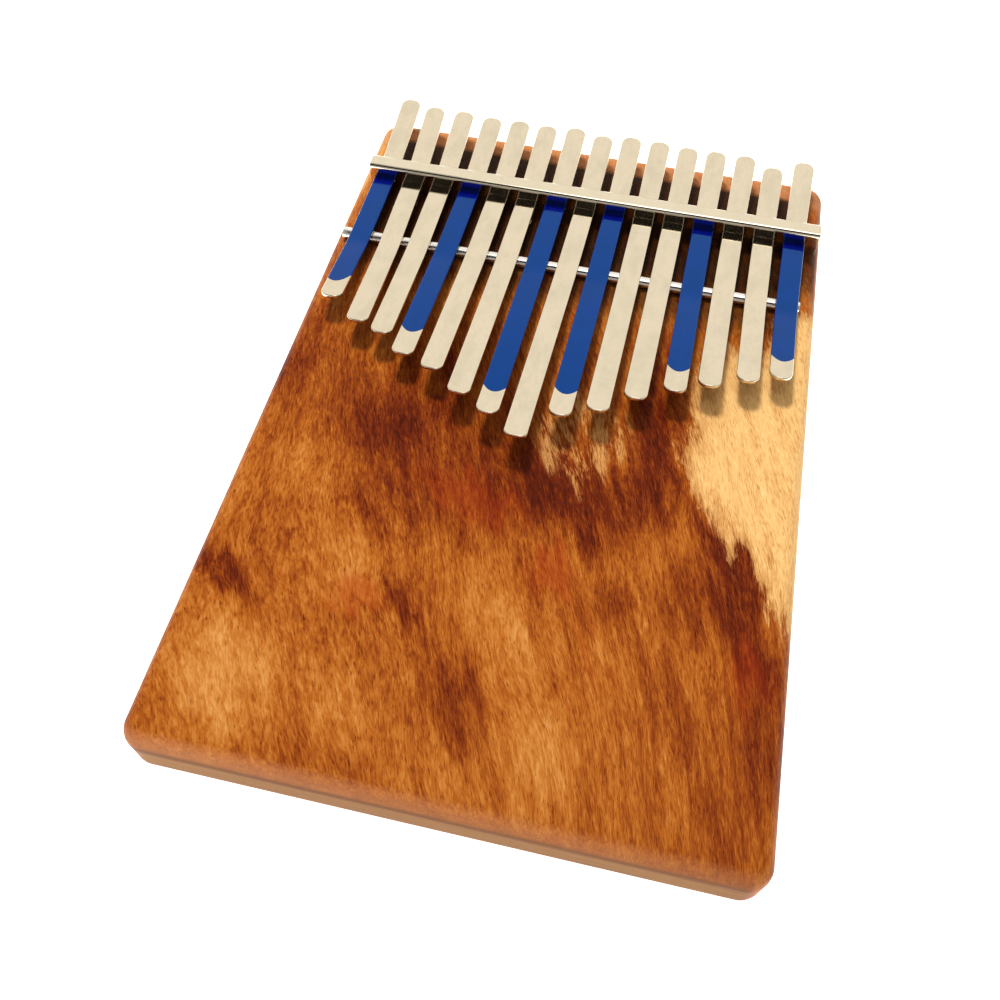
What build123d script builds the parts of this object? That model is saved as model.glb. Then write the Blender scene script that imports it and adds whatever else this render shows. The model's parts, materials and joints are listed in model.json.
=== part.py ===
from build123d import *

import os
from math import cos, radians, sin

# A board-mounted thumb piano (mbira): a solid hardwood board, a slotted steel bridge screwed
# across its far end, a round steel nut rod in front of the bridge, and fifteen flat spring-steel
# tines.  Units are millimetres.  The origin is the centre of the board's underside; +X runs
# to the player's right, +Y from the player towards the bridge, and +Z up.

os.makedirs("parts", exist_ok=True)

# ---------------------------------------------------------------- driving dimensions

board_width = 135.0
board_length = 204.0
board_thickness = 14.0
board_corner_radius = 5.5
board_top_radius = 4.0        # the upper edges are rounded over further than the lower ones
board_bottom_radius = 2.0

tine_width = 5.8
tine_thickness = 1.0
tine_pitch = 8.45
tail_corner_radius = 2.4
tine_height = 3.75            # upper face of the straight part, above the board
tail_height = 7.5             # upper face at the tail end, above the board
short_tip_height = 6.5        # upper face at the tip of the shortest tine, above the board
long_tip_height = 8.0         # and of the longest
tuning_travel = 2.0           # each tine slides this far either way when it is tuned

nut_y = 49.0
nut_diameter = 3.2
nut_groove_depth = 0.5
nut_left = -65.0
nut_right = 62.5
nut_end_chamfer = 0.3

bridge_front = 71.2
bridge_depth = 4.9
bridge_height = 7.5
bridge_left = -63.5
bridge_right = 65.5
bridge_sheet = 1.4
bridge_bend_radius = 1.2
bridge_inner_radius = 0.3

tab_width = 5.2               # narrower than a tine, so each tab lies hidden under one
tab_length = 8.2
tab_corner_radius = 2.0
tab_slots = (-6, -2, 2, 6)    # the slots under which the tabs lie, counted from the middle one

screw_radius = 1.2
screw_length = 11.5
screw_point_length = 2.5
screw_head_radius = 2.0
screw_head_height = 0.8
screw_recess_width = 0.6
screw_recess_depth = 0.4
screw_setback = 4.8           # from the bridge's front wall to the screws
screw_turn = 25.0             # each screw's recess is turned this many degrees from the last

running_fit = 0.05            # tine over the nut, and under and over in its slot
side_fit = 0.15               # tine to each side of its slot
seat_fit = 0.02               # rod in its groove, screws in their holes
joint_gap = 0.1               # between a tine's shank and its tongue
hinge_setback = 2.5           # from the nut's centre line to the tongue's hinge
front_bend_setback = 3.0      # from the hinge to the bend towards the tip
back_bend_clearance = 1.5     # from the bridge, with the tine pushed fully in, to the tail's bend
front_bend_radius = 25.0
back_bend_radius = 12.0
trim_allowance = 1.0          # the strips are drawn longer than the tines by this much

# Distance of every tip, then of every tail, from the board's centre, left to right, and the
# small skew with which each tine was clamped, in degrees.  The tips were rounded by hand.
tip_places = [20.0, 13.1, 10.4, 4.7, 1.6, -4.5, -9.1, -14.4, -5.8, -2.2, 3.7, 8.3, 12.0, 15.8, 18.7]
tail_places = [102.9, 101.0, 101.0, 100.2, 100.6, 100.2, 101.2, 99.5, 100.8, 100.7, 100.0, 100.1,
               100.2, 96.8, 101.1]
tine_skews = [0.0, -0.8, 0.4, 1.4, 1.4, 1.3, 1.4, 1.5, 1.2, 1.1, 1.2, 0.7, 1.0, 0.3, 0.8]
tip_corner_radii = [2.3, 2.0, 2.2, 2.0, 1.9, 1.8, 2.3, 1.6, 2.4, 2.3, 2.2, 2.3, 2.4, 2.6, 2.6]

# ---------------------------------------------------------------- derived places

tine_count = len(tip_places)
board_top = board_thickness
tine_top = board_top + tine_height
tine_mid = tine_top - tine_thickness / 2
tine_bottom = tine_top - tine_thickness

nut_radius = nut_diameter / 2
nut_centre_z = tine_bottom - running_fit - nut_radius

bridge_back = bridge_front + bridge_depth
bridge_middle = (bridge_front + bridge_back) / 2
bridge_top = board_top + bridge_height
tab_top = board_top + bridge_sheet
tab_middle = bridge_front - tab_length / 2

hinge_y = nut_y - hinge_setback
front_bend_y = hinge_y - front_bend_setback
back_bend_y = bridge_back + tuning_travel + back_bend_clearance

screw_y = bridge_front - screw_setback
screw_places = [(slot * tine_pitch, screw_y) for slot in tab_slots]

shortest_run = nut_y - max(tip_places)
longest_run = nut_y - min(tip_places)


# ---------------------------------------------------------------- board

with BuildPart() as soundboard:
    with BuildSketch():
        RectangleRounded(board_width, board_length, board_corner_radius)
    extrude(amount=board_thickness)
    fillet(soundboard.faces().sort_by(Axis.Z)[-1].edges(), board_top_radius)
    fillet(soundboard.faces().sort_by(Axis.Z)[0].edges(), board_bottom_radius)
    with BuildSketch(Plane.YZ.offset(nut_left - seat_fit)):
        with Locations((nut_y, nut_centre_z)):
            Circle(nut_radius + seat_fit)
    extrude(amount=nut_right - nut_left + 2 * seat_fit, mode=Mode.SUBTRACT)
    with Locations(*[(x, y, board_top) for x, y in screw_places]):
        Hole(screw_radius + seat_fit, depth=screw_length)
soundboard.part.label = "soundboard"

# ---------------------------------------------------------------- nut rod

with BuildPart() as nut_rod:
    with BuildSketch(Plane.YZ.offset(nut_left)):
        with Locations((nut_y, nut_centre_z)):
            Circle(nut_radius)
    extrude(amount=nut_right - nut_left)
    chamfer(nut_rod.edges().filter_by(GeomType.CIRCLE), nut_end_chamfer)
nut_rod.part.label = "nut_rod"

# ---------------------------------------------------------------- bridge

# One bent sheet: a front wall, a top and a rear wall, with four tabs folded forward from the
# front wall onto the board.  Every tine runs through a slot in both walls.
with BuildPart() as bridge:
    with BuildSketch(Plane.YZ.offset(bridge_left)):
        with BuildLine():
            Polyline(
                (bridge_front, board_top),
                (bridge_front + bridge_sheet, board_top),
                (bridge_front + bridge_sheet, bridge_top - bridge_sheet),
                (bridge_back - bridge_sheet, bridge_top - bridge_sheet),
                (bridge_back - bridge_sheet, board_top),
                (bridge_back, board_top),
                (bridge_back, bridge_top),
                (bridge_front, bridge_top),
                close=True,
            )
        make_face()
    extrude(amount=bridge_right - bridge_left)
    fillet(bridge.edges().filter_by(Axis.X).group_by(Axis.Z)[-1], bridge_bend_radius)
    under_z = bridge_top - bridge_sheet
    under_edges = bridge.edges().filter_by(Axis.X).filter_by_position(Axis.Z, under_z, under_z)
    fillet(under_edges, bridge_inner_radius)
    with BuildSketch(Plane.XY.offset(board_top)):
        for slot in tab_slots:
            with Locations((slot * tine_pitch, tab_middle)):
                tab = Rectangle(tab_width, tab_length)
            fillet(tab.vertices().group_by(Axis.Y)[0], tab_corner_radius)
    extrude(amount=bridge_sheet)
    with BuildSketch(Plane.XZ.offset(-bridge_middle)):
        with Locations((0, tine_mid)):
            with GridLocations(tine_pitch, 0, tine_count, 1):
                Rectangle(tine_width + 2 * side_fit, tine_thickness + 2 * running_fit)
    extrude(amount=bridge_depth, both=True, mode=Mode.SUBTRACT)
    with Locations(*[(x, y, tab_top) for x, y in screw_places]):
        CounterSinkHole(screw_radius + seat_fit, screw_head_radius + seat_fit, depth=bridge_sheet)
bridge.part.label = "bridge"

# ---------------------------------------------------------------- bridge screws

with BuildPart() as bridge_screws:
    with BuildSketch(Plane.XZ):
        with BuildLine():
            Polyline(
                (0, tab_top),
                (screw_head_radius, tab_top),
                (screw_radius, tab_top - screw_head_height),
                (screw_radius, board_top - screw_length + screw_point_length),
                (0, board_top - screw_length + seat_fit),
                close=True,
            )
        make_face()
    revolve(axis=Axis.Z)
    with BuildSketch(Plane.XY.offset(tab_top)):
        Rectangle(2 * screw_head_radius, screw_recess_width)
    extrude(amount=-screw_recess_depth, mode=Mode.SUBTRACT)
one_screw = bridge_screws.part
screws = Compound(
    label="bridge_screws",
    children=[Pos(x, y, 0) * Rot(0, 0, screw_turn * number) * one_screw
              for number, (x, y) in enumerate(screw_places)],
)

# ---------------------------------------------------------------- tines


def tip_rise(tip_place):
    """How far a tip stands above the straight part of its tine."""
    share = (nut_y - tip_place - shortest_run) / (longest_run - shortest_run)
    return short_tip_height + share * (long_tip_height - short_tip_height) - tine_height


def tine_planes(number):
    """The side plane and the plan plane of a tine, both through its slot's centre."""
    slot_x = (number - (tine_count - 1) / 2) * tine_pitch
    skew = radians(tine_skews[number])
    origin = (slot_x, bridge_middle, 0)
    side = Plane(origin=origin, x_dir=(sin(skew), cos(skew), 0), z_dir=(cos(skew), -sin(skew), 0))
    plan = Plane(origin=origin, x_dir=(cos(skew), -sin(skew), 0), z_dir=(0, 0, 1))
    return side, plan


def bent_strip(number, path_points, bend_radius):
    """A strip of the tine's section along a bent side view, cut to the tine's rounded outline."""
    side, plan = tine_planes(number)
    tip = tip_places[number] - bridge_middle
    tail = tail_places[number] - bridge_middle
    with BuildPart() as strip:
        with BuildSketch(side):
            with BuildLine():
                FilletPolyline(*path_points, radius=bend_radius)
            trace(line_width=tine_thickness)
        extrude(amount=tine_width / 2, both=True)
        with BuildSketch(plan):
            with Locations((0, (tip + tail) / 2)):
                outline = Rectangle(tine_width, tail - tip)
            corners = outline.vertices().group_by(Axis.Y)
            fillet(corners[0], tip_corner_radii[number])
            fillet(corners[-1], tail_corner_radius)
        extrude(amount=2 * board_thickness, mode=Mode.INTERSECT)
    return strip.part


def make_shank(number):
    """The clamped part of a tine, from the hinge through the bridge to the raised tail."""
    start = hinge_y - bridge_middle + joint_gap / 2
    bend = back_bend_y - bridge_middle
    tail = tail_places[number] - bridge_middle
    slope = (tail_height - tine_height) / (tail - bend)
    end = tail + trim_allowance
    path_points = [(start, tine_mid), (bend, tine_mid), (end, tine_mid + slope * (end - bend))]
    return bent_strip(number, path_points, back_bend_radius)


def make_tongue(number):
    """The free part of a tine that the thumb plucks, from the hinge to the raised tip."""
    start = hinge_y - bridge_middle - joint_gap / 2
    bend = front_bend_y - bridge_middle
    tip = tip_places[number] - bridge_middle
    slope = tip_rise(tip_places[number]) / (bend - tip)
    end = tip - trim_allowance
    path_points = [(start, tine_mid), (bend, tine_mid), (end, tine_mid + slope * (bend - end))]
    return bent_strip(number, path_points, front_bend_radius)


# ---------------------------------------------------------------- export

export_step(soundboard.part, "parts/soundboard.step")
export_step(nut_rod.part, "parts/nut_rod.step")
export_step(bridge.part, "parts/bridge.step")
export_step(screws, "parts/bridge_screws.step")

for number in range(tine_count):
    name = f"tine_{number + 1:02d}"
    shank = make_shank(number)
    shank.label = f"{name}_shank"
    export_step(shank, f"parts/{name}_shank.step")
    tongue = make_tongue(number)
    tongue.label = f"{name}_tongue"
    export_step(tongue, f"parts/{name}_tongue.step")
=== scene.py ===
import json
import math

import bmesh
import bpy
import numpy as np
from mathutils import Matrix, Vector


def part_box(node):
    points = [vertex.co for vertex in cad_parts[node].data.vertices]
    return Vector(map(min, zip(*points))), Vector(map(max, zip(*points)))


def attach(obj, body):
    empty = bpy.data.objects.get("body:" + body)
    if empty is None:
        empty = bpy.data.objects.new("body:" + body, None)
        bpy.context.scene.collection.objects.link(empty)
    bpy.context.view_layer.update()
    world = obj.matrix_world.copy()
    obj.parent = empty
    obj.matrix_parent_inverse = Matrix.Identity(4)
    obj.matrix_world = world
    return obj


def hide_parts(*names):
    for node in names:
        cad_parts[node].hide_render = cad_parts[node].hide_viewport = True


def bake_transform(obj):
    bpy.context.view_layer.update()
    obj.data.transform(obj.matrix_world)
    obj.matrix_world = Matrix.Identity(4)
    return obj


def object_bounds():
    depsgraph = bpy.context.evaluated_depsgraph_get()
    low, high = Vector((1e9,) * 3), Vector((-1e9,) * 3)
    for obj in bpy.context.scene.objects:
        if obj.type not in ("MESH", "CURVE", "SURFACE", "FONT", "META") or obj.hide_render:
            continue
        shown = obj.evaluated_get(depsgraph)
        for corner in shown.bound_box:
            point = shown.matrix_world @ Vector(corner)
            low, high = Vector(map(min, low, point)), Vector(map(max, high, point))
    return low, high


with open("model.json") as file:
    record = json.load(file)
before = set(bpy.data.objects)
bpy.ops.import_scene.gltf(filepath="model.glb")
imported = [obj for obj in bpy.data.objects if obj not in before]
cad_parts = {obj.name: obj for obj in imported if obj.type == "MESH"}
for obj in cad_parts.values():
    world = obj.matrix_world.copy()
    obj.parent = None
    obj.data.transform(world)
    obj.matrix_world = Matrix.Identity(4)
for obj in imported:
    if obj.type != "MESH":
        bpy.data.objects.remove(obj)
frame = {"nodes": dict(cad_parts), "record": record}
cad_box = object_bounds()

# Looks for a board-mounted thumb piano.  Every length below is in millimetres; the frame's own
# places are in metres and are turned into millimetres where they are read.
MM = 0.001
record = frame["record"]

# ------------------------------------------------------------------ sizes that the looks add

TINE_WIDTH = 5.8
TINE_THICKNESS = 1.0
TIP_CORNER_RADII = [2.3, 2.0, 2.2, 2.0, 1.9, 1.8, 2.3, 1.6, 2.4, 2.3, 2.2, 2.3, 2.4, 2.6, 2.6]
TAIL_CORNER_RADIUS = 2.4
TINE_EDGE_RADIUS = 0.28
FRONT_BEND_SETBACK = 3.0      # from the hinge to the front bend
FRONT_BEND_RADIUS = 25.0
BACK_BEND_SETBACK = 3.5       # from the bridge's rear wall to the back bend
BACK_BEND_RADIUS = 12.0

BOARD_CORNER_RADIUS = 5.5
BOARD_TOP_RADIUS = 4.0
BOARD_BOTTOM_RADIUS = 2.0
ARRIS_HEIGHT = 10.0           # where the upper rounding meets the flat sides
GROOVE_FIT = 0.02             # round the rod in its groove
GROOVE_CHAMFER = 0.1
ROD_CHAMFER = 0.35
ROD_SIDES = 48

BRIDGE_SHEET = 1.4
BRIDGE_BEND_RADIUS = 1.2
BRIDGE_INNER_RADIUS = 0.3
BRIDGE_DEPTH = 4.9
TAB_SLOTS = (-6, -2, 2, 6)    # counted from the middle slot
TAB_WIDTH = 5.2
TAB_CORNER_RADIUS = 2.0
SCREW_HEAD_RADIUS = 2.02
SCREW_HOLE_RADIUS = 1.22
SCREW_HOLE_SIDES = 32
SLOT_SIDE_FIT = 0.15
SLOT_HEIGHT_FIT = 0.05

PAINTED_TINES = {1: 6.3, 4: 8.0, 7: 7.0, 9: 7.0, 12: 6.9, 15: 6.2}   # bare length at the tip
PAINT_SLANT = {1: 0.42}       # how far the paint's end leans, as a slope
PAINT_THICKNESS = 0.03
PAINT_DEPTH = 0.02            # how far the film reaches into the tine
PAINT_LOWER_EDGE = -0.1       # on the sides, from the tine's middle surface
PAINT_END_CURVE = 1.9         # how much further the paint's end reaches in the middle
PAINT_ROWS = 44


# ------------------------------------------------------------------ camera

def aim(azimuth, elevation, roll):
    """The rotation of a camera that looks along +Y at azimuth 0, as a matrix."""
    turn = Matrix.Rotation(math.radians(azimuth), 3, "Z")
    tilt = Matrix.Rotation(math.radians(90 - elevation), 3, "X")
    spin = Matrix.Rotation(math.radians(roll), 3, "Z")
    return turn @ tilt @ spin


camera_data = bpy.data.cameras.new("camera")
camera_data.lens = 35.55
camera_data.sensor_width = 36.0
camera_data.clip_start = 0.01
camera = bpy.data.objects.new("camera", camera_data)
camera.location = Vector((22.56, -150.2, 210.4)) * MM
camera.rotation_euler = aim(11.63, 57.54, 1.15).to_euler()
bpy.context.scene.collection.objects.link(camera)
bpy.context.scene.camera = camera
bpy.context.scene.view_settings.view_transform = "Standard"


# ------------------------------------------------------------------ mesh helpers

def new_piece(name, mesh):
    """A shown object with this mesh, in millimetres, smooth shaded except over sharp edges."""
    mesh.transform(Matrix.Scale(MM, 4))
    shade(mesh)
    piece = bpy.data.objects.new(name, mesh)
    bpy.context.scene.collection.objects.link(piece)
    return piece


def shade(mesh, sharp_angle=35):
    """Smooth shading, except on large level faces and over edges sharper than the angle."""
    for polygon in mesh.polygons:
        polygon.use_smooth = abs(polygon.normal.z) < 0.9999 or polygon.area < 40 * MM * MM
    mesh.set_sharp_from_angle(angle=math.radians(sharp_angle))


def mesh_from(name, vertices, faces):
    mesh = bpy.data.meshes.new(name)
    mesh.from_pydata([tuple(v) for v in vertices], [], faces)
    mesh.validate()
    b = bmesh.new()
    b.from_mesh(mesh)
    bmesh.ops.recalc_face_normals(b, faces=b.faces)
    b.to_mesh(mesh)
    b.free()
    return mesh


def loop_normals(points):
    """Inward unit normals of a closed outline that runs clockwise."""
    ahead = np.roll(points, -1, axis=0) - points
    behind = points - np.roll(points, 1, axis=0)
    ahead = ahead / np.linalg.norm(ahead, axis=1)[:, None]
    behind = behind / np.linalg.norm(behind, axis=1)[:, None]
    tangent = ahead + behind
    tangent = tangent / np.linalg.norm(tangent, axis=1)[:, None]
    return np.stack([tangent[:, 1], -tangent[:, 0]], axis=1)


def rounded_outline(x0, x1, y0, y1, near, far, arc_steps, side_steps):
    """Left side from y0 to y1, then right side back, of a rectangle with rounded corners."""
    left = []
    for step in range(arc_steps + 1):
        angle = math.radians(270 - 90 * step / arc_steps)
        left.append((x0 + near + near * math.cos(angle), y0 + near + near * math.sin(angle)))
    for y in np.linspace(y0 + near, y1 - far, side_steps + 1)[1:-1]:
        left.append((x0, y))
    for step in range(arc_steps + 1):
        angle = math.radians(180 - 90 * step / arc_steps)
        left.append((x0 + far + far * math.cos(angle), y1 - far + far * math.sin(angle)))
    middle = x0 + x1
    right = [(middle - x, y) for x, y in reversed(left)]
    return np.array(left + right)


def inset_loops(outline, levels):
    """The outline moved inwards by the inset of each (inset, height) level."""
    normals = loop_normals(outline)
    return [outline + normals * inset for inset, height in levels]


def stacked_slab(name, loops, shape, ladder_caps):
    """Joins plan loops of equal length into a closed solid; shape maps (x, y, level) to a point.

    Ladder caps are rows of quads across the slab, which bend with it; the others are one face.
    """
    count = len(loops[0])
    vertices = [shape(x, y, level) for level, loop in enumerate(loops) for x, y in loop]
    faces = []
    for level in range(len(loops) - 1):
        low, high = level * count, (level + 1) * count
        for i in range(count):
            j = (i + 1) % count
            faces.append((low + i, low + j, high + j, high + i))
    for start in (0, (len(loops) - 1) * count):
        if ladder_caps:
            for i in range(count // 2 - 1):
                faces.append((start + i, start + i + 1, start + count - 2 - i, start + count - 1 - i))
        else:
            faces.append(tuple(range(start, start + count)))
    return mesh_from(name, vertices, faces)


def turned_faces(ring_count, sides):
    """The two ends and the side faces of a solid whose vertices are rings of equal length."""
    last = (ring_count - 1) * sides
    faces = [tuple(range(sides)), tuple(range(last, last + sides))]
    for ring in range(ring_count - 1):
        for side in range(sides):
            a = ring * sides + side
            b = ring * sides + (side + 1) % sides
            faces.append((a, b, b + sides, a + sides))
    return faces


def rounded_edge(radius, steps, flat):
    """(inset, height) of the loops from a slab's flat face round its edge to its side."""
    levels = [(radius + flat, 0.0)]
    for step in range(steps + 1):
        angle = math.radians(90 * step / steps)
        levels.append((radius - radius * math.sin(angle), radius - radius * math.cos(angle)))
    return levels


def edge_levels(thickness, lower, upper, steps, flat):
    """(inset, height) of the loops round a slab with rounded edges, from the bottom up."""
    above = [(inset, thickness - height) for inset, height in rounded_edge(upper, steps, flat)]
    return rounded_edge(lower, steps, flat) + above[::-1]


# ------------------------------------------------------------------ node helpers

class Graph:
    """A short way to write a shader: each call adds one node and returns its output."""

    def __init__(self, tree):
        self.tree = tree

    def node(self, kind, **settings):
        node = self.tree.nodes.new(kind)
        for key, value in settings.items():
            setattr(node, key, value)
        return node

    def feed(self, socket, value):
        if isinstance(value, bpy.types.NodeSocket):
            self.tree.links.new(value, socket)
        else:
            socket.default_value = value

    def math(self, operation, a, b=0.0, c=0.0, clamp=False):
        node = self.node("ShaderNodeMath", operation=operation, use_clamp=clamp)
        for socket, value in zip(node.inputs, (a, b, c)):
            self.feed(socket, value)
        return node.outputs[0]

    def vector(self, operation, a, b=(0, 0, 0), output=0):
        node = self.node("ShaderNodeVectorMath", operation=operation)
        self.feed(node.inputs[0], a)
        self.feed(node.inputs[1], b)
        return node.outputs[output]

    def scaled(self, a, factor):
        node = self.node("ShaderNodeVectorMath", operation="SCALE")
        self.feed(node.inputs[0], a)
        self.feed(node.inputs[3], factor)
        return node.outputs[0]

    def place(self, vector, kind="POINT", location=(0, 0, 0), rotation=0.0, scale=(1, 1, 1)):
        node = self.node("ShaderNodeMapping", vector_type=kind)
        self.feed(node.inputs[0], vector)
        node.inputs["Location"].default_value = location
        node.inputs["Rotation"].default_value = (0, 0, math.radians(rotation))
        node.inputs["Scale"].default_value = scale
        return node.outputs[0]

    def noise(self, vector, scale=1.0, detail=2.0, roughness=0.5, distortion=0.0, colour=False):
        node = self.node("ShaderNodeTexNoise", noise_dimensions="3D")
        self.feed(node.inputs["Vector"], vector)
        node.inputs["Scale"].default_value = scale
        node.inputs["Detail"].default_value = detail
        node.inputs["Roughness"].default_value = roughness
        node.inputs["Distortion"].default_value = distortion
        return node.outputs["Color" if colour else 0]

    def remap(self, value, low, high, to_low=0.0, to_high=1.0, smooth=False):
        kind = "SMOOTHSTEP" if smooth else "LINEAR"
        node = self.node("ShaderNodeMapRange", interpolation_type=kind)
        for socket, item in zip(node.inputs, (value, low, high, to_low, to_high)):
            self.feed(socket, item)
        return node.outputs[0]

    def mix(self, factor, a, b, blend="MIX"):
        node = self.node("ShaderNodeMix", data_type="RGBA", blend_type=blend)
        self.feed(node.inputs[0], factor)
        self.feed(node.inputs[6], a)
        self.feed(node.inputs[7], b)
        return node.outputs[2]

    def ramp(self, value, stops):
        node = self.node("ShaderNodeValToRGB")
        self.feed(node.inputs[0], value)
        elements = node.color_ramp.elements
        while len(elements) < len(stops):
            elements.new(0.5)
        for element, (position, colour) in zip(elements, stops):
            element.position = position
            element.color = colour
        return node.outputs[0]

    def bump(self, height, strength, distance):
        node = self.node("ShaderNodeBump")
        node.inputs["Strength"].default_value = strength
        node.inputs["Distance"].default_value = distance * MM
        self.feed(node.inputs["Height"], height)
        return node.outputs[0]

    def centred(self, value, amount):
        """A noise value moved to swing about zero, and scaled."""
        return self.math("MULTIPLY", self.math("SUBTRACT", value, 0.5), amount)

    def past(self, a, b):
        """How far a is above b, or zero where it isn't."""
        return self.math("MAXIMUM", self.math("SUBTRACT", a, b), 0.0)

    def split(self, vector):
        node = self.node("ShaderNodeSeparateXYZ")
        self.feed(node.inputs[0], vector)
        return node.outputs

    def combine(self, x, y, z):
        node = self.node("ShaderNodeCombineXYZ")
        for socket, value in zip(node.inputs, (x, y, z)):
            self.feed(socket, value)
        return node.outputs[0]

    def millimetres(self):
        """The point in the row frame, in millimetres."""
        return self.scaled(self.node("ShaderNodeTexCoord").outputs["Object"], 1 / MM)


def linear(red, green, blue):
    """A colour given as 0 to 255 display values, as the shader's linear values."""
    def channel(value):
        value = value / 255
        return value / 12.92 if value <= 0.04045 else ((value + 0.055) / 1.055) ** 2.4
    return channel(red), channel(green), channel(blue), 1.0


def new_material(name):
    material = bpy.data.materials.new(name)
    material.use_nodes = True
    shader = material.node_tree.nodes["Principled BSDF"]
    return material, Graph(material.node_tree), shader


# ------------------------------------------------------------------ wood

WOOD_BRIGHTNESS = 0.68        # of the colours below, so that the key light leaves them as seen
# Patches of figure, and among the dark ones also painted shadow: centre, half sizes across and along,
# turn in degrees, and strength.
DARK_FIGURE_AND_SHADOW_PATCHES = [
    # The next three rows are painted shadow: the soft band that the tine tips cast on the wood.
    ((-30, 2), (28, 16), 60, 0.20),
    ((-8, -18), (34, 20), 0, 0.26),
    ((20, -24), (26, 11), 10, 0.18),
    ((-24, -36), (22, 9), -10, 0.14),
    ((-56, -6), (14, 20), 20, 0.16),
    ((-17, -60), (4, 10), 38, 0.22),
    ((-1, -80), (5, 13), 38, 0.20),
    ((20, -33), (4, 9), 40, 0.14),
    ((42, -70), (6, 24), 27, 0.16),
    ((-60, -61), (6, 14), 42, 0.26),
    ((-62, 8), (9, 16), 0, 0.20),
    ((-52, -18), (16, 14), 0, 0.12),
    ((52, -32), (6, 16), 42, 0.30),
    ((58, -50), (8, 14), 35, 0.34),
    ((44, -44), (9, 10), 30, 0.16),
    ((28, -46), (10, 8), 20, 0.12),
    ((62, -70), (7, 20), 10, 0.22),
    ((57, -90), (8, 16), 10, 0.12),
    ((30, 4), (8, 34), 5, 0.30),
]
LIGHT_PATCHES = [
    ((-50, -20), (10, 26), 20, 0.14),
    ((-48, -84), (18, 16), 30, 0.16),
    ((-33, -52), (8, 14), 38, 0.12),
    ((2, -60), (7, 18), 48, 0.12),
    ((20, -86), (7, 14), 38, 0.14),
    ((-24, -88), (7, 12), 38, 0.10),
    ((0, 97), (80, 7), 0, 0.12),
    ((-67, 88), (6, 30), 0, 0.34),
]
RED_PATCHES = [
    ((-28, -60), (7, 6), 0, 0.7),
    ((13, -44), (7, 6), 0, 0.7),
    ((58, -58), (6, 9), 0, 0.5),
    ((-10, -28), (16, 7), -20, 0.5),
    ((24, -60), (3, 14), 27, 0.5),
]


def patches(graph, vector, rows):
    """The sum of soft elliptical patches."""
    total = 0.0
    for (x, y), (across, along), turn, strength in rows:
        local = graph.place(vector, "TEXTURE", (x, y, 0), turn, (across, along, 1000))
        radius = graph.vector("LENGTH", local, output=1)
        total = graph.math("ADD", total, graph.remap(radius, 1.25, 0.25, 0.0, strength, smooth=True))
    return total


def leaning_grain(g, point):
    """The wood's own axes: the grain leans across the board, less so towards the long sides."""
    x, y, z = g.split(point)
    lean = g.math("ADD", 0.40, g.math("MULTIPLY", x, 0.0007))
    lean = g.math("SUBTRACT", lean, g.math("MULTIPLY", g.math("MULTIPLY", x, x), 0.00005))
    return g.combine(g.math("ADD", x, g.math("MULTIPLY", y, lean)), y, z)


def painted_shade_under_tines(g, point):
    """How bright the wood is painted, from 0 to 1: painted shade darkens the top between the tines from
    in front of the rod to where the tails' shadow ends behind the bridge, and the right margin beside the
    bridge; the sides stay bright.
    """
    x, y, z = g.split(point)
    bright = g.remap(y, 33.0, 44.0, 1.0, 0.30, smooth=True)
    bright = g.math("MULTIPLY", bright, g.remap(y, 47.0, 57.0, 1.0, 0.30, smooth=True))
    bright = g.math("MAXIMUM", bright, g.remap(y, 91.5, 94.5, smooth=True))
    margin = g.remap(g.math("ABSOLUTE", x), 60.5, 63.5, smooth=True)
    shade = g.math("MULTIPLY", g.remap(y, 50.0, 62.0, smooth=True), g.remap(y, 76.5, 75.5))
    shade = g.math("MULTIPLY", shade, g.remap(x, -1.0, 1.0, 0.0, 0.7))
    margin = g.math("MULTIPLY", margin, g.math("SUBTRACT", 1.0, shade))
    bright = g.math("MAXIMUM", bright, margin)
    return g.math("MAXIMUM", bright, g.remap(z, 13.4, 12.2, smooth=True))


def wood_layers(g, flow):
    """Noise drawn out along the grain, at five scales from coarse to fine."""
    def layer(across, along, **settings):
        return g.noise(g.place(flow, scale=(across, along, across)), **settings)

    return {
        "blotch": layer(0.09, 0.022, detail=3.0, roughness=0.55),
        "streak": layer(0.35, 0.045, detail=4.0, roughness=0.6),
        "stroke": layer(1.0, 0.22, detail=2.0, roughness=0.7, distortion=0.9),
        "fleck": layer(1.9, 0.34, detail=3.0, roughness=0.7, distortion=0.6),
        "fibre": layer(4.2, 0.45, detail=2.0, roughness=0.6),
    }


LAYER_AMOUNTS = {"blotch": 0.42, "streak": 0.50, "stroke": 0.50, "fleck": 0.58, "fibre": 0.50}


def heartwood(g, warped, layers, pore):
    """Red-brown wood, patched darker, lighter and redder."""
    tone = 0.54
    for name, amount in LAYER_AMOUNTS.items():
        tone = g.math("ADD", tone, g.centred(layers[name], amount))
    tone = g.math("SUBTRACT", tone, patches(g, warped, DARK_FIGURE_AND_SHADOW_PATCHES))
    tone = g.math("ADD", tone, patches(g, warped, LIGHT_PATCHES))
    tone = g.math("SUBTRACT", tone, g.math("MULTIPLY", pore, 0.10))
    heart = g.ramp(tone, [
        (0.00, linear(66, 18, 4)),
        (0.22, linear(104, 34, 8)),
        (0.42, linear(146, 68, 16)),
        (0.60, linear(180, 101, 32)),
        (0.80, linear(204, 134, 62)),
        (1.00, linear(222, 160, 92)),
    ])
    red = g.math("MULTIPLY", patches(g, warped, RED_PATCHES), layers["fleck"], clamp=True)
    return g.mix(red, heart, linear(168, 50, 16))


def sapwood_depth(g, warped):
    """How far a point lies past the sapwood's border, which leans right towards both ends."""
    x, y, z = g.split(warped)
    border = g.math("ADD", 38.0, g.math("MULTIPLY", g.past(-10.0, y), 0.78))
    depth = g.math("SUBTRACT", x, border)
    return g.math("SUBTRACT", depth, g.math("MULTIPLY", g.past(y, 22.0), 0.9))


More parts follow.
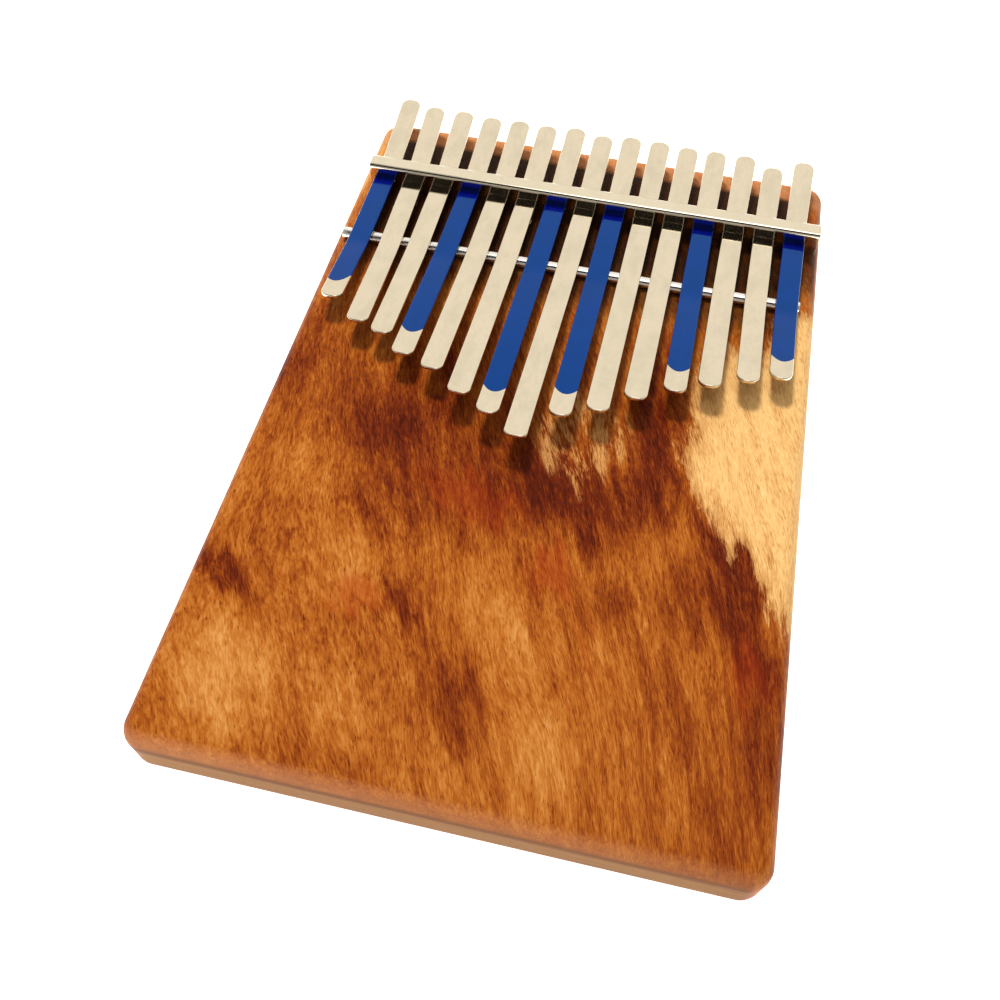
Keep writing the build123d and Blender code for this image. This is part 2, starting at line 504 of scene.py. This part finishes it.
def sapwood_share(g, warped, layers, depth):
    """Where the wood is pale: past the ragged border, and in a mottled island before it."""
    ragged = g.centred(layers["fleck"], 9.0)
    pale = g.remap(g.math("ADD", depth, ragged), -1.6, 1.8, smooth=True)
    from_island = g.vector("LENGTH", g.place(warped, "TEXTURE", (13, -4, 0), 0, (12, 14, 1000)), output=1)
    island = g.remap(from_island, 1.05, 0.75, smooth=True)
    mottle = g.math("ADD", layers["streak"], g.centred(layers["fleck"], 0.7))
    mottle = g.math("MULTIPLY", g.remap(mottle, 0.46, 0.58), 0.75)
    return g.math("MAXIMUM", pale, g.math("MULTIPLY", island, mottle))


def sapwood(g, layers, depth):
    """Pale wood, a little darker beside its border."""
    tone = g.math("MULTIPLY", layers["fibre"], 0.45)
    tone = g.math("ADD", tone, g.math("MULTIPLY", layers["streak"], 0.30))
    tone = g.math("ADD", tone, g.math("MULTIPLY", layers["fleck"], 0.35))
    near_border = g.remap(depth, 9.0, -1.0, 0.0, 0.16, smooth=True)
    return g.ramp(g.math("SUBTRACT", tone, near_border), [
        (0.28, linear(150, 92, 44)),
        (0.42, linear(206, 148, 84)),
        (0.56, linear(238, 190, 122)),
        (0.78, linear(250, 216, 152)),
    ])


def painted_highlight_near_edge(g, point, normal_y, colour):
    """A painted highlight on the upper rounding at the player's end, paler most of all at the left, with
    the colour raised where the rounding turns away from the light.
    """
    highlight_share = g.remap(g.split(point)[0], -70.0, 70.0, 0.50, 0.22)
    highlight_share = g.math("MULTIPLY", g.remap(normal_y, -0.15, -0.72), highlight_share)
    colour = g.mix(highlight_share, colour, linear(236, 164, 116))
    shading_lift = g.math("MULTIPLY", g.remap(normal_y, -0.05, -0.60), g.remap(normal_y, -0.96, -0.85))
    return g.scaled(colour, g.math("ADD", 1.0, g.math("MULTIPLY", shading_lift, 0.27)))


def end_grain_and_arris_shade(g, point, normal_y, colour):
    """Layered end grain on both flat ends, with a painted shade line along the arris at the player's end.
    """
    end_face = g.remap(g.math("ABSOLUTE", normal_y), 0.94, 0.995)
    layers = g.noise(g.place(point, scale=(0.05, 1.0, 1.1)), detail=4.0, roughness=0.65, distortion=0.4)
    layer_colour = g.ramp(layers, [
        (0.30, linear(168, 110, 60)),
        (0.50, linear(208, 156, 92)),
        (0.70, linear(226, 178, 114)),
    ])
    end_colour = g.mix(1.0, g.mix(0.60, colour, layer_colour), (0.76, 0.72, 0.50, 1.0), "MULTIPLY")
    colour = g.mix(end_face, colour, end_colour)
    # Painted shade: a dark line along the arris, where the upper rounding meets the flat side at the
    # player's end.
    from_arris = g.math("ABSOLUTE", g.math("SUBTRACT", g.split(point)[2], ARRIS_HEIGHT))
    arris_shade = g.math("MULTIPLY", g.remap(from_arris, 1.7, 0.4, 0.0, 0.75), g.remap(normal_y, -0.90, -0.99))
    return g.mix(arris_shade, colour, linear(124, 60, 14))


def paler_rear(g, point, colour):
    """The top face is paler behind the bridge."""
    x, y, z = g.split(point)
    rear = g.remap(y, 88.0, 94.0, 0.0, 0.55, smooth=True)
    rear = g.math("MULTIPLY", rear, g.remap(z, 10.5, 12.0, smooth=True))
    return g.mix(rear, colour, linear(190, 134, 94))


def wood_material():
    material, g, shader = new_material("board_wood")
    point = g.millimetres()
    grain = leaning_grain(g, point)
    sway = g.noise(g.place(grain, scale=(0.03, 0.012, 0.03)), detail=2.0, colour=True)
    sway = g.vector("SUBTRACT", sway, (0.5, 0.5, 0.5))
    flow = g.vector("ADD", grain, g.vector("MULTIPLY", sway, (16, 4, 4)))
    warp = g.noise(g.place(flow, scale=(0.22, 0.05, 0.22)), detail=3.0, colour=True)
    warp = g.vector("MULTIPLY", g.vector("SUBTRACT", warp, (0.5, 0.5, 0.5)), (14, 26, 0))
    warped = g.vector("ADD", point, warp)
    layers = wood_layers(g, flow)
    pore = g.remap(g.noise(g.place(flow, scale=(3.0, 0.42, 3.0)), detail=1.0), 0.34, 0.26)

    depth = sapwood_depth(g, warped)
    pale = sapwood_share(g, warped, layers, depth)
    colour = g.mix(pale, heartwood(g, warped, layers, pore), sapwood(g, layers, depth))
    pore_colour = g.mix(0.55, colour, linear(70, 26, 10), "MULTIPLY")
    colour = g.mix(g.math("MULTIPLY", pore, 0.6), colour, pore_colour)

    normal_y = g.split(g.node("ShaderNodeNewGeometry").outputs["Normal"])[1]
    colour = painted_highlight_near_edge(g, point, normal_y, colour)
    colour = end_grain_and_arris_shade(g, point, normal_y, colour)
    colour = paler_rear(g, point, colour)
    # Painted shade between the tines and beside the bridge scales the colour, together with the overall
    # brightness.
    colour = g.scaled(colour, g.math("MULTIPLY", painted_shade_under_tines(g, point), WOOD_BRIGHTNESS))
    g.feed(shader.inputs["Base Color"], colour)
    g.feed(shader.inputs["Roughness"], g.remap(layers["fleck"], 0.3, 0.7, 0.38, 0.52))
    shader.inputs["Specular IOR Level"].default_value = 0.06
    height = g.math("SUBTRACT", g.math("MULTIPLY", layers["fibre"], 0.4), pore)
    g.feed(shader.inputs["Normal"], g.bump(height, 0.35, 0.06))
    return material


# ------------------------------------------------------------------ metal and paint

def darker(colour, share):
    return tuple(c * share for c in colour[:3]) + (1.0,)


def plated_material(name, colour, roughness, smudge):
    """Bright plated steel with faint cloudy smudges, small specks and a slight waviness."""
    material, g, shader = new_material(name)
    point = g.millimetres()
    cloud = g.noise(g.place(point, scale=(0.22, 0.12, 0.22)), detail=4.0, roughness=0.62)
    grime = g.noise(g.place(point, scale=(0.9, 0.5, 0.9)), detail=3.0, roughness=0.6)
    speck = g.noise(point, scale=1.9, detail=2.0, roughness=0.65)
    base = g.mix(g.remap(cloud, 0.42, 0.70), colour, darker(colour, smudge))
    base = g.mix(g.remap(grime, 0.50, 0.80, 0.0, 0.20), base, darker(colour, 0.80))
    base = g.mix(g.remap(speck, 0.68, 0.80, 0.0, 0.30), base, darker(colour, 0.70))
    g.feed(shader.inputs["Base Color"], base)
    shader.inputs["Metallic"].default_value = 1.0
    g.feed(shader.inputs["Roughness"], g.remap(cloud, 0.3, 0.7, roughness, roughness * 1.5))
    wave = g.noise(g.place(point, scale=(0.10, 0.06, 0.10)), detail=1.0)
    g.feed(shader.inputs["Normal"], g.bump(wave, 0.25, 0.10))
    return material


def paint_material():
    """Gloss lacquer: deep blue beneath, and a bright blue sheen where it mirrors light."""
    material, g, shader = new_material("tine_paint")
    point = g.millimetres()
    cloud = g.noise(point, scale=0.25, detail=3.0)
    peel = g.noise(point, scale=1.6, detail=2.0)
    dust = g.remap(g.noise(point, scale=5.0, detail=1.0), 0.72, 0.80)
    base = g.mix(g.remap(cloud, 0.3, 0.7), (0.001, 0.002, 0.105, 1), (0.001, 0.003, 0.128, 1))
    base = g.mix(g.math("MULTIPLY", dust, 0.3), base, (0.03, 0.05, 0.20, 1))
    g.feed(shader.inputs["Base Color"], base)
    shader.inputs["IOR"].default_value = 2.0
    shader.inputs["Specular Tint"].default_value = (0.0, 0.46, 0.82, 1)
    g.feed(shader.inputs["Roughness"], g.remap(cloud, 0.3, 0.7, 0.10, 0.16))
    g.feed(shader.inputs["Normal"], g.bump(peel, 0.15, 0.01))
    return material


wood = wood_material()
tine_steel = plated_material("tine_steel", (0.78, 0.70, 0.56, 1), 0.08, 0.90)
bridge_nickel = plated_material("bridge_nickel", (0.80, 0.73, 0.59, 1), 0.08, 0.94)
rod_steel = plated_material("rod_steel", (0.90, 0.89, 0.87, 1), 0.16, 0.92)
screw_steel = plated_material("screw_steel", (0.74, 0.70, 0.62, 1), 0.22, 0.80)
paint = paint_material()


# ------------------------------------------------------------------ board

def box_mm(node):
    low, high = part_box(node)
    return low / MM, high / MM


def combine(piece, other, operation="DIFFERENCE"):
    """Takes the other solid away from the piece, or joins the two, and deletes the other."""
    modifier = piece.modifiers.new("combine", "BOOLEAN")
    modifier.operation = operation
    modifier.solver = "EXACT"
    modifier.object = other
    bpy.context.view_layer.update()
    evaluated = piece.evaluated_get(bpy.context.evaluated_depsgraph_get())
    mesh = bpy.data.meshes.new_from_object(evaluated)
    piece.modifiers.clear()
    piece.data = mesh
    shade(mesh)
    bpy.data.objects.remove(other)


def dress(piece, material):
    """Gives the piece this material alone."""
    piece.data.materials.clear()
    piece.data.materials.append(material)


def round_bar(name, ends, centre, radius, chamfer):
    """A round bar along X with softened ends."""
    x0, x1 = ends
    y, z = centre
    rings = [(x0, radius - chamfer), (x0 + chamfer * 0.3, radius - chamfer * 0.3), (x0 + chamfer, radius)]
    rings += [(x, radius) for x in np.linspace(x0 + chamfer, x1 - chamfer, 40)[1:-1]]
    rings += [(x0 + x1 - x, r) for x, r in reversed(rings[:3])]
    vertices = []
    for x, ring_radius in rings:
        for side in range(ROD_SIDES):
            angle = 2 * math.pi * side / ROD_SIDES
            vertices.append((x, y + ring_radius * math.cos(angle), z + ring_radius * math.sin(angle)))
    return new_piece(name, mesh_from(name, vertices, turned_faces(len(rings), ROD_SIDES)))


def bar_at_rod(name, margin, chamfer):
    """A round bar in the nut rod's place, larger all round by the margin."""
    low, high = box_mm("nut_rod")
    radius = (high.z - low.z) / 2
    ends = (low.x - margin, high.x + margin)
    centre = (low.y + radius, low.z + radius)
    return round_bar(name, ends, centre, radius + margin, chamfer)


def make_board():
    low, high = box_mm("soundboard")
    corner = BOARD_CORNER_RADIUS
    outline = rounded_outline(low.x, high.x, low.y, high.y, corner, corner, 12, 24)
    levels = edge_levels(high.z - low.z, BOARD_BOTTOM_RADIUS, BOARD_TOP_RADIUS, 10, 0.6)
    loops = inset_loops(outline, levels)

    def shape(x, y, level):
        return (x, y, low.z + levels[level][1])

    board = new_piece("board", stacked_slab("board", loops, shape, ladder_caps=False))
    combine(board, bar_at_rod("groove", GROOVE_FIT, GROOVE_CHAMFER))
    dress(board, wood)
    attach(board, "frame")
    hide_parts("soundboard")
    return board


def make_rod():
    rod = bar_at_rod("front_nut", 0.0, ROD_CHAMFER)
    dress(rod, rod_steel)
    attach(rod, "frame")
    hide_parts("nut_rod")
    return rod


# ------------------------------------------------------------------ bridge

def arc(centre_y, centre_z, radius, start, end, steps):
    """Points of an arc, from start to end degrees."""
    angles = [math.radians(start + (end - start) * step / steps) for step in range(steps + 1)]
    return [(centre_y + radius * math.cos(a), centre_z + radius * math.sin(a)) for a in angles]


def bridge_channel(low, high):
    """The bent sheet: a front wall, a top and a rear wall, as one solid along X."""
    back = high.y
    front = back - BRIDGE_DEPTH
    sheet, bend, inner = BRIDGE_SHEET, BRIDGE_BEND_RADIUS, BRIDGE_INNER_RADIUS
    ceiling = high.z - sheet
    section = [(front, low.z), (front + sheet, low.z)]
    section += arc(front + sheet + inner, ceiling - inner, inner, 180, 90, 4)
    section += arc(back - sheet - inner, ceiling - inner, inner, 90, 0, 4)
    section += [(back - sheet, low.z), (back, low.z)]
    section += arc(back - bend, high.z - bend, bend, 0, 90, 10)
    section += arc(front + bend, high.z - bend, bend, 90, 180, 10)
    count = len(section)
    vertices = [(x, y, z) for x in (low.x, high.x) for y, z in section]
    faces = [tuple(range(count)), tuple(range(count, 2 * count))]
    faces += [(i, (i + 1) % count, count + (i + 1) % count, count + i) for i in range(count)]
    return new_piece("bridge_plate", mesh_from("bridge_plate", vertices, faces))


def slot_blocks(tines, front, back):
    """One block for every tine, a little larger than the tine's section."""
    half_width = TINE_WIDTH / 2 + SLOT_SIDE_FIT
    half_height = TINE_THICKNESS / 2 + SLOT_HEIGHT_FIT
    sides = ((0, 1, 2, 3), (4, 5, 6, 7), (0, 1, 5, 4), (1, 2, 6, 5), (2, 3, 7, 6), (3, 0, 4, 7))
    vertices, faces = [], []
    for tine in tines:
        base = len(vertices)
        for y in (front - 2, back + 2):
            for sx, sz in ((-1, -1), (1, -1), (1, 1), (-1, 1)):
                vertices.append((tine["slot_x"] + sx * half_width, y, tine["flat_z"] + sz * half_height))
        faces += [tuple(base + i for i in side) for side in sides]
    return new_piece("slots", mesh_from("slots", vertices, faces))


def make_tab(x, low, front):
    """A tab under one tine, from the front wall forward onto the board."""
    half = TAB_WIDTH / 2
    outline = rounded_outline(x - half, x + half, low.y, front + 0.9, TAB_CORNER_RADIUS, 0.2, 8, 3)
    levels = [(0.0, 0.0), (0.0, BRIDGE_SHEET - 0.15), (0.04, BRIDGE_SHEET - 0.04), (0.15, BRIDGE_SHEET)]
    loops = inset_loops(outline, levels)

    def shape(px, py, level):
        return (px, py, low.z + levels[level][1])

    return new_piece("tab", stacked_slab("tab", loops, shape, ladder_caps=False))


def countersink(x, y, low):
    """A cone over a round hole, for one screw."""
    top = low.z + BRIDGE_SHEET
    depth = SCREW_HEAD_RADIUS - SCREW_HOLE_RADIUS
    rings = [(SCREW_HOLE_RADIUS, low.z - 1), (SCREW_HOLE_RADIUS, top - depth), (SCREW_HEAD_RADIUS, top),
             (SCREW_HEAD_RADIUS, top + 0.3)]
    vertices = []
    for radius, z in rings:
        for side in range(SCREW_HOLE_SIDES):
            angle = 2 * math.pi * side / SCREW_HOLE_SIDES
            vertices.append((x + radius * math.cos(angle), y + radius * math.sin(angle), z))
    faces = turned_faces(len(rings), SCREW_HOLE_SIDES)
    return new_piece("countersink", mesh_from("countersink", vertices, faces))


def make_bridge(tines):
    low, high = box_mm("bridge")
    screws_low, screws_high = box_mm("bridge_screws")
    screw_y = (screws_low.y + screws_high.y) / 2
    front = high.y - BRIDGE_DEPTH
    bridge = bridge_channel(low, high)
    middle = tines[len(tines) // 2]["slot_x"]
    pitch = tines[len(tines) // 2 + 1]["slot_x"] - middle
    for slot in TAB_SLOTS:
        combine(bridge, make_tab(middle + slot * pitch, low, front), "UNION")
    combine(bridge, slot_blocks(tines, front, high.y))
    for slot in TAB_SLOTS:
        combine(bridge, countersink(middle + slot * pitch, screw_y, low))
    edge = bridge.modifiers.new("edge", "BEVEL")
    edge.width = 0.12 * MM
    edge.segments = 2
    edge.limit_method = "ANGLE"
    edge.angle_limit = math.radians(60)
    normals = bridge.modifiers.new("normals", "WEIGHTED_NORMAL")
    normals.keep_sharp = True
    dress(bridge, bridge_nickel)
    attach(bridge, "frame")
    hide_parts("bridge")
    return bridge


# ------------------------------------------------------------------ tines

def read_tines():
    """Where each tine lies, from the frame: its hinge, its direction, and how far it reaches."""
    joints = {joint["name"]: joint for joint in record["behaviour"]["joints"]}
    bridge_low, bridge_high = box_mm("bridge")
    tines = []
    for number in range(1, 16):
        name = f"tine_{number:02d}"
        slide, hinge = joints[f"{name}_tuning"], joints[f"{name}_pluck"]
        origin = Vector(hinge["pos_m"]) / MM
        along = Vector(slide["axis"]).normalized()
        across = Vector(hinge["axis"]).normalized()
        reach = []
        for part in ("tongue", "shank"):
            points = [v.co / MM - origin for v in frame["nodes"][f"{name}_{part}"].data.vertices]
            reach.append([p.dot(along) for p in points])
        tongue_top = box_mm(f"{name}_tongue")[1].z
        shank_top = box_mm(f"{name}_shank")[1].z
        back_bend = (bridge_high.y + BACK_BEND_SETBACK - origin.y) / along.y
        slot_middle = (bridge_high.y - BRIDGE_DEPTH / 2 - origin.y) / along.y
        tines.append({
            "number": number, "name": name, "origin": origin, "along": along, "across": across,
            "tip": min(reach[0]), "tail": max(reach[1]), "flat_z": origin.z,
            "tip_rise": tongue_top - origin.z - TINE_THICKNESS / 2,
            "tail_rise": shank_top - origin.z - TINE_THICKNESS / 2,
            "back_bend": back_bend, "bridge_reach": slot_middle,
            "slot_x": origin.x + along.x * slot_middle,
        })
    return tines


def eased(distance, slope, radius):
    """Height past a bend that turns through a gentle arc to a steady slope."""
    reach = radius * slope / 2
    if distance <= -reach:
        return 0.0, 0.0
    if distance >= reach:
        return slope * distance, slope
    share = (distance + reach) / (2 * reach)
    return slope * reach * share * share, slope * share


def tine_height(tine, s):
    """Height above the straight part, and slope, of a tine's middle at a place along it."""
    front = -FRONT_BEND_SETBACK
    front_slope = tine["tip_rise"] / (front - tine["tip"])
    back_slope = tine["tail_rise"] / (tine["tail"] - tine["back_bend"])
    rise, slope = eased(front - s, front_slope, FRONT_BEND_RADIUS)
    if s < 0:
        return rise, -slope
    return eased(s - tine["back_bend"], back_slope, BACK_BEND_RADIUS)


def tine_point(tine, x, s, offset):
    """A point of a tine: x across, s along, offset out of its middle surface."""
    rise, slope = tine_height(tine, s)
    lean = math.hypot(1, slope)
    along = s - offset * slope / lean
    up = rise + offset / lean
    return tine["origin"] + tine["across"] * x + tine["along"] * along + Vector((0, 0, up))


def make_tine(tine):
    half = TINE_WIDTH / 2
    tip_radius = TIP_CORNER_RADII[tine["number"] - 1]
    outline = rounded_outline(-half, half, tine["tip"], tine["tail"],
                              tip_radius, TAIL_CORNER_RADIUS, 10, 56)
    levels = edge_levels(TINE_THICKNESS, TINE_EDGE_RADIUS, TINE_EDGE_RADIUS, 4, 0.15)
    loops = inset_loops(outline, levels)

    def shape(x, s, level):
        return tine_point(tine, x, s, levels[level][1] - TINE_THICKNESS / 2)

    piece = new_piece(tine["name"], stacked_slab(tine["name"], loops, shape, ladder_caps=True))
    dress(piece, tine_steel)
    bend_across_nut(piece, tine)
    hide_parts(f"{tine['name']}_shank", f"{tine['name']}_tongue")
    return piece


def bend_across_nut(piece, tine):
    """Bakes the piece's placement into its mesh; the points at the nut and towards the tip are worked out
    but not used, and no bend is made.
    """
    start = tine_point(tine, 0, 1.0, 0) * MM
    end = tine_point(tine, 0, tine["tip"] * 0.55, 0) * MM
    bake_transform(piece)


def paint_section():
    """The film's section over a tine's top and upper sides, and its outward normals."""
    half = TINE_WIDTH / 2
    top = TINE_THICKNESS / 2
    edge = TINE_EDGE_RADIUS
    section = [(-half, PAINT_LOWER_EDGE)]
    section += [(-half + edge - edge * math.cos(a), top - edge + edge * math.sin(a))
                for a in np.radians(np.linspace(0, 90, 5))]
    section += [(x, top) for x in np.linspace(-half + edge, half - edge, 15)[1:-1]]
    section += [(-x, z) for x, z in reversed(section[:6])]
    section = np.array(section)
    directions = np.gradient(section, axis=0)
    directions = directions / np.linalg.norm(directions, axis=1)[:, None]
    outward = np.stack([-directions[:, 1], directions[:, 0]], axis=1)
    return section, outward


def film_faces(rows, across):
    """Faces of a closed film: an outer grid of points, an inner grid, and the rim between them."""
    size = (rows + 1) * across
    faces = []
    for row in range(rows):
        for i in range(across - 1):
            a = row * across + i
            faces.append((a, a + 1, a + across + 1, a + across))
            faces.append((size + a, size + a + across, size + a + across + 1, size + a + 1))
    rim = list(range(across))
    rim += [row * across + across - 1 for row in range(1, rows + 1)]
    rim += [rows * across + i for i in range(across - 2, -1, -1)]
    rim += [row * across for row in range(rows - 1, 0, -1)]
    for a, b in zip(rim, rim[1:] + rim[:1]):
        faces.append((a, b, size + b, size + a))
    return faces


def make_paint(tine, bare):
    """A thin closed film over the top and the upper half of the sides, with a rounded end."""
    half = TINE_WIDTH / 2
    section, outward = paint_section()
    slant = PAINT_SLANT.get(tine["number"], 0.0)
    end = tine["bridge_reach"]
    vertices = []
    for layer in (PAINT_THICKNESS, -PAINT_DEPTH):
        for row in range(PAINT_ROWS + 1):
            for (x, z), (nx, nz) in zip(section, outward):
                start = tine["tip"] + bare + PAINT_END_CURVE * (x / half) ** 2 + slant * x
                s = start + (end - start) * row / PAINT_ROWS
                vertices.append(tine_point(tine, x + nx * layer, s, z + nz * layer))
    name = f"{tine['name']}_paint"
    piece = new_piece(name, mesh_from(name, vertices, film_faces(PAINT_ROWS, len(section))))
    dress(piece, paint)
    bend_across_nut(piece, tine)
    return piece


make_board()
make_rod()
tines = read_tines()
make_bridge(tines)
for tine in tines:
    make_tine(tine)
    if tine["number"] in PAINTED_TINES:
        make_paint(tine, PAINTED_TINES[tine["number"]])
dress(frame["nodes"]["bridge_screws"], screw_steel)


# ------------------------------------------------------------------ floor and light

def make_floor():
    """A white floor with a glow of its own, so that shadows hardly darken it."""
    size = 3.0
    vertices = [(-size, -size, 0), (size, -size, 0), (size, size, 0), (-size, size, 0)]
    mesh = bpy.data.meshes.new("floor")
    mesh.from_pydata(vertices, [], [(0, 1, 2, 3)])
    floor = bpy.data.objects.new("floor", mesh)
    floor.location.z = cad_box[0].z
    bpy.context.scene.collection.objects.link(floor)
    material, _, shader = new_material("floor")
    shader.inputs["Base Color"].default_value = (0.92, 0.92, 0.91, 1)
    shader.inputs["Roughness"].default_value = 0.9
    shader.inputs["Specular IOR Level"].default_value = 0.1
    shader.inputs["Emission Color"].default_value = (1.0, 1.0, 1.0, 1)
    shader.inputs["Emission Strength"].default_value = 0.9
    floor.data.materials.append(material)


def make_lamp(name, direction, distance, size, power, colour, mirrored):
    """A square soft light that faces the object from a direction, and whether metal mirrors it."""
    data = bpy.data.lights.new(name, "AREA")
    data.shape = "SQUARE"
    data.size = size
    data.energy = power
    data.color = colour
    lamp = bpy.data.objects.new(name, data)
    toward = Vector(direction).normalized()
    lamp.location = toward * distance
    lamp.rotation_euler = toward.to_track_quat("Z", "Y").to_euler()
    lamp.visible_glossy = mirrored
    bpy.context.scene.collection.objects.link(lamp)


def make_world():
    """A pale room, brightest high behind the object, with one dark screen high in front of it."""
    world = bpy.data.worlds.new("studio")
    world.use_nodes = True
    bpy.context.scene.world = world
    g = Graph(world.node_tree)
    background = world.node_tree.nodes["Background"]
    direction = g.node("ShaderNodeTexCoord").outputs["Generated"]
    x, y, z = g.split(direction)
    aside = g.math("ABSOLUTE", x)
    behind = g.math("ADD", y, g.math("MULTIPLY", z, 0.30))
    behind = g.math("SUBTRACT", behind, g.math("MULTIPLY", aside, 0.35))
    panel = g.remap(behind, 0.08, 0.48, smooth=True)
    screen = g.math("MULTIPLY", g.remap(z, 0.50, 0.60, smooth=True), g.remap(z, 0.94, 0.86, smooth=True))
    screen = g.math("MULTIPLY", screen, g.remap(aside, 0.62, 0.46, smooth=True))
    room = g.mix(screen, (0.42, 0.40, 0.37, 1), (0.010, 0.008, 0.007, 1))
    g.feed(background.inputs["Color"], g.mix(panel, room, (1.05, 0.99, 0.88, 1)))
    background.inputs["Strength"].default_value = 1.0


make_floor()
make_world()
make_lamp("key", (-0.25, 0.6, 1.0), 1.2, 0.20, 18.0, (1.0, 0.97, 0.92), False)
make_lamp("overhead", (0.05, -0.10, 1.0), 1.4, 0.6, 2.6, (1.0, 0.97, 0.94), True)
make_lamp("front", (0.2, -1.0, 0.9), 1.4, 0.9, 2.6, (1.0, 0.97, 0.94), False)
